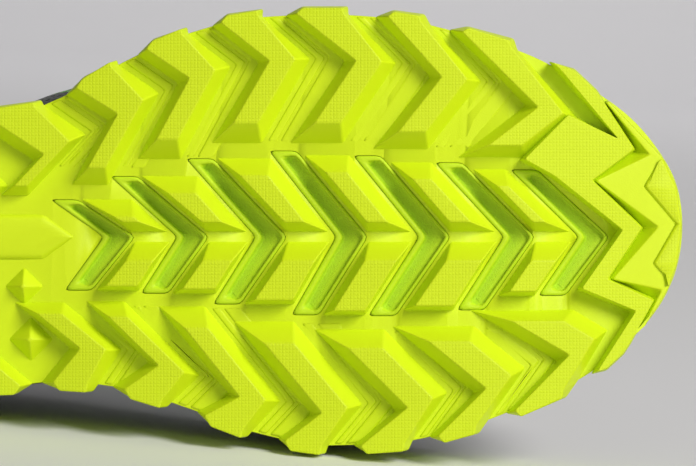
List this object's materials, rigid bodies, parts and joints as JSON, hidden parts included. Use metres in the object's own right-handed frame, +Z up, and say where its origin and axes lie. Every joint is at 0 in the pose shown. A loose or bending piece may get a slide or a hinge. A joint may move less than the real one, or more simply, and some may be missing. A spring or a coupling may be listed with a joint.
{
  "type": "trail running shoe",
  "caption": "Left trail running shoe lying on its side: lugged lime rubber outsole with chevron windows, foam midsole, hollow mesh upper, tongue, insole and lace.",
  "frame": {"origin": "on the floor, below the middle of the shoe's box", "axes": "+X from the heel to the toe, +Z up, with the sole facing -Y and the medial side up"},
  "size_m": [0.2948, 0.116, 0.1173],
  "materials": {
    "rubber": "matt moulded rubber, fine cross-hatch on the lug faces",
    "foam": "matt moulded foam",
    "upper_mesh": "knitted mesh with welded overlays",
    "insole_cloth": "brushed cloth on foam",
    "tongue_cloth": "padded mesh",
    "lace_cord": "flat woven lace"
  },
  "bodies": {
    "root": {"outsole": "rubber", "midsole": "foam", "upper": "upper_mesh", "insole": "insole_cloth", "tongue": "tongue_cloth", "lace": "lace_cord"}
  },
  "joints": []
}
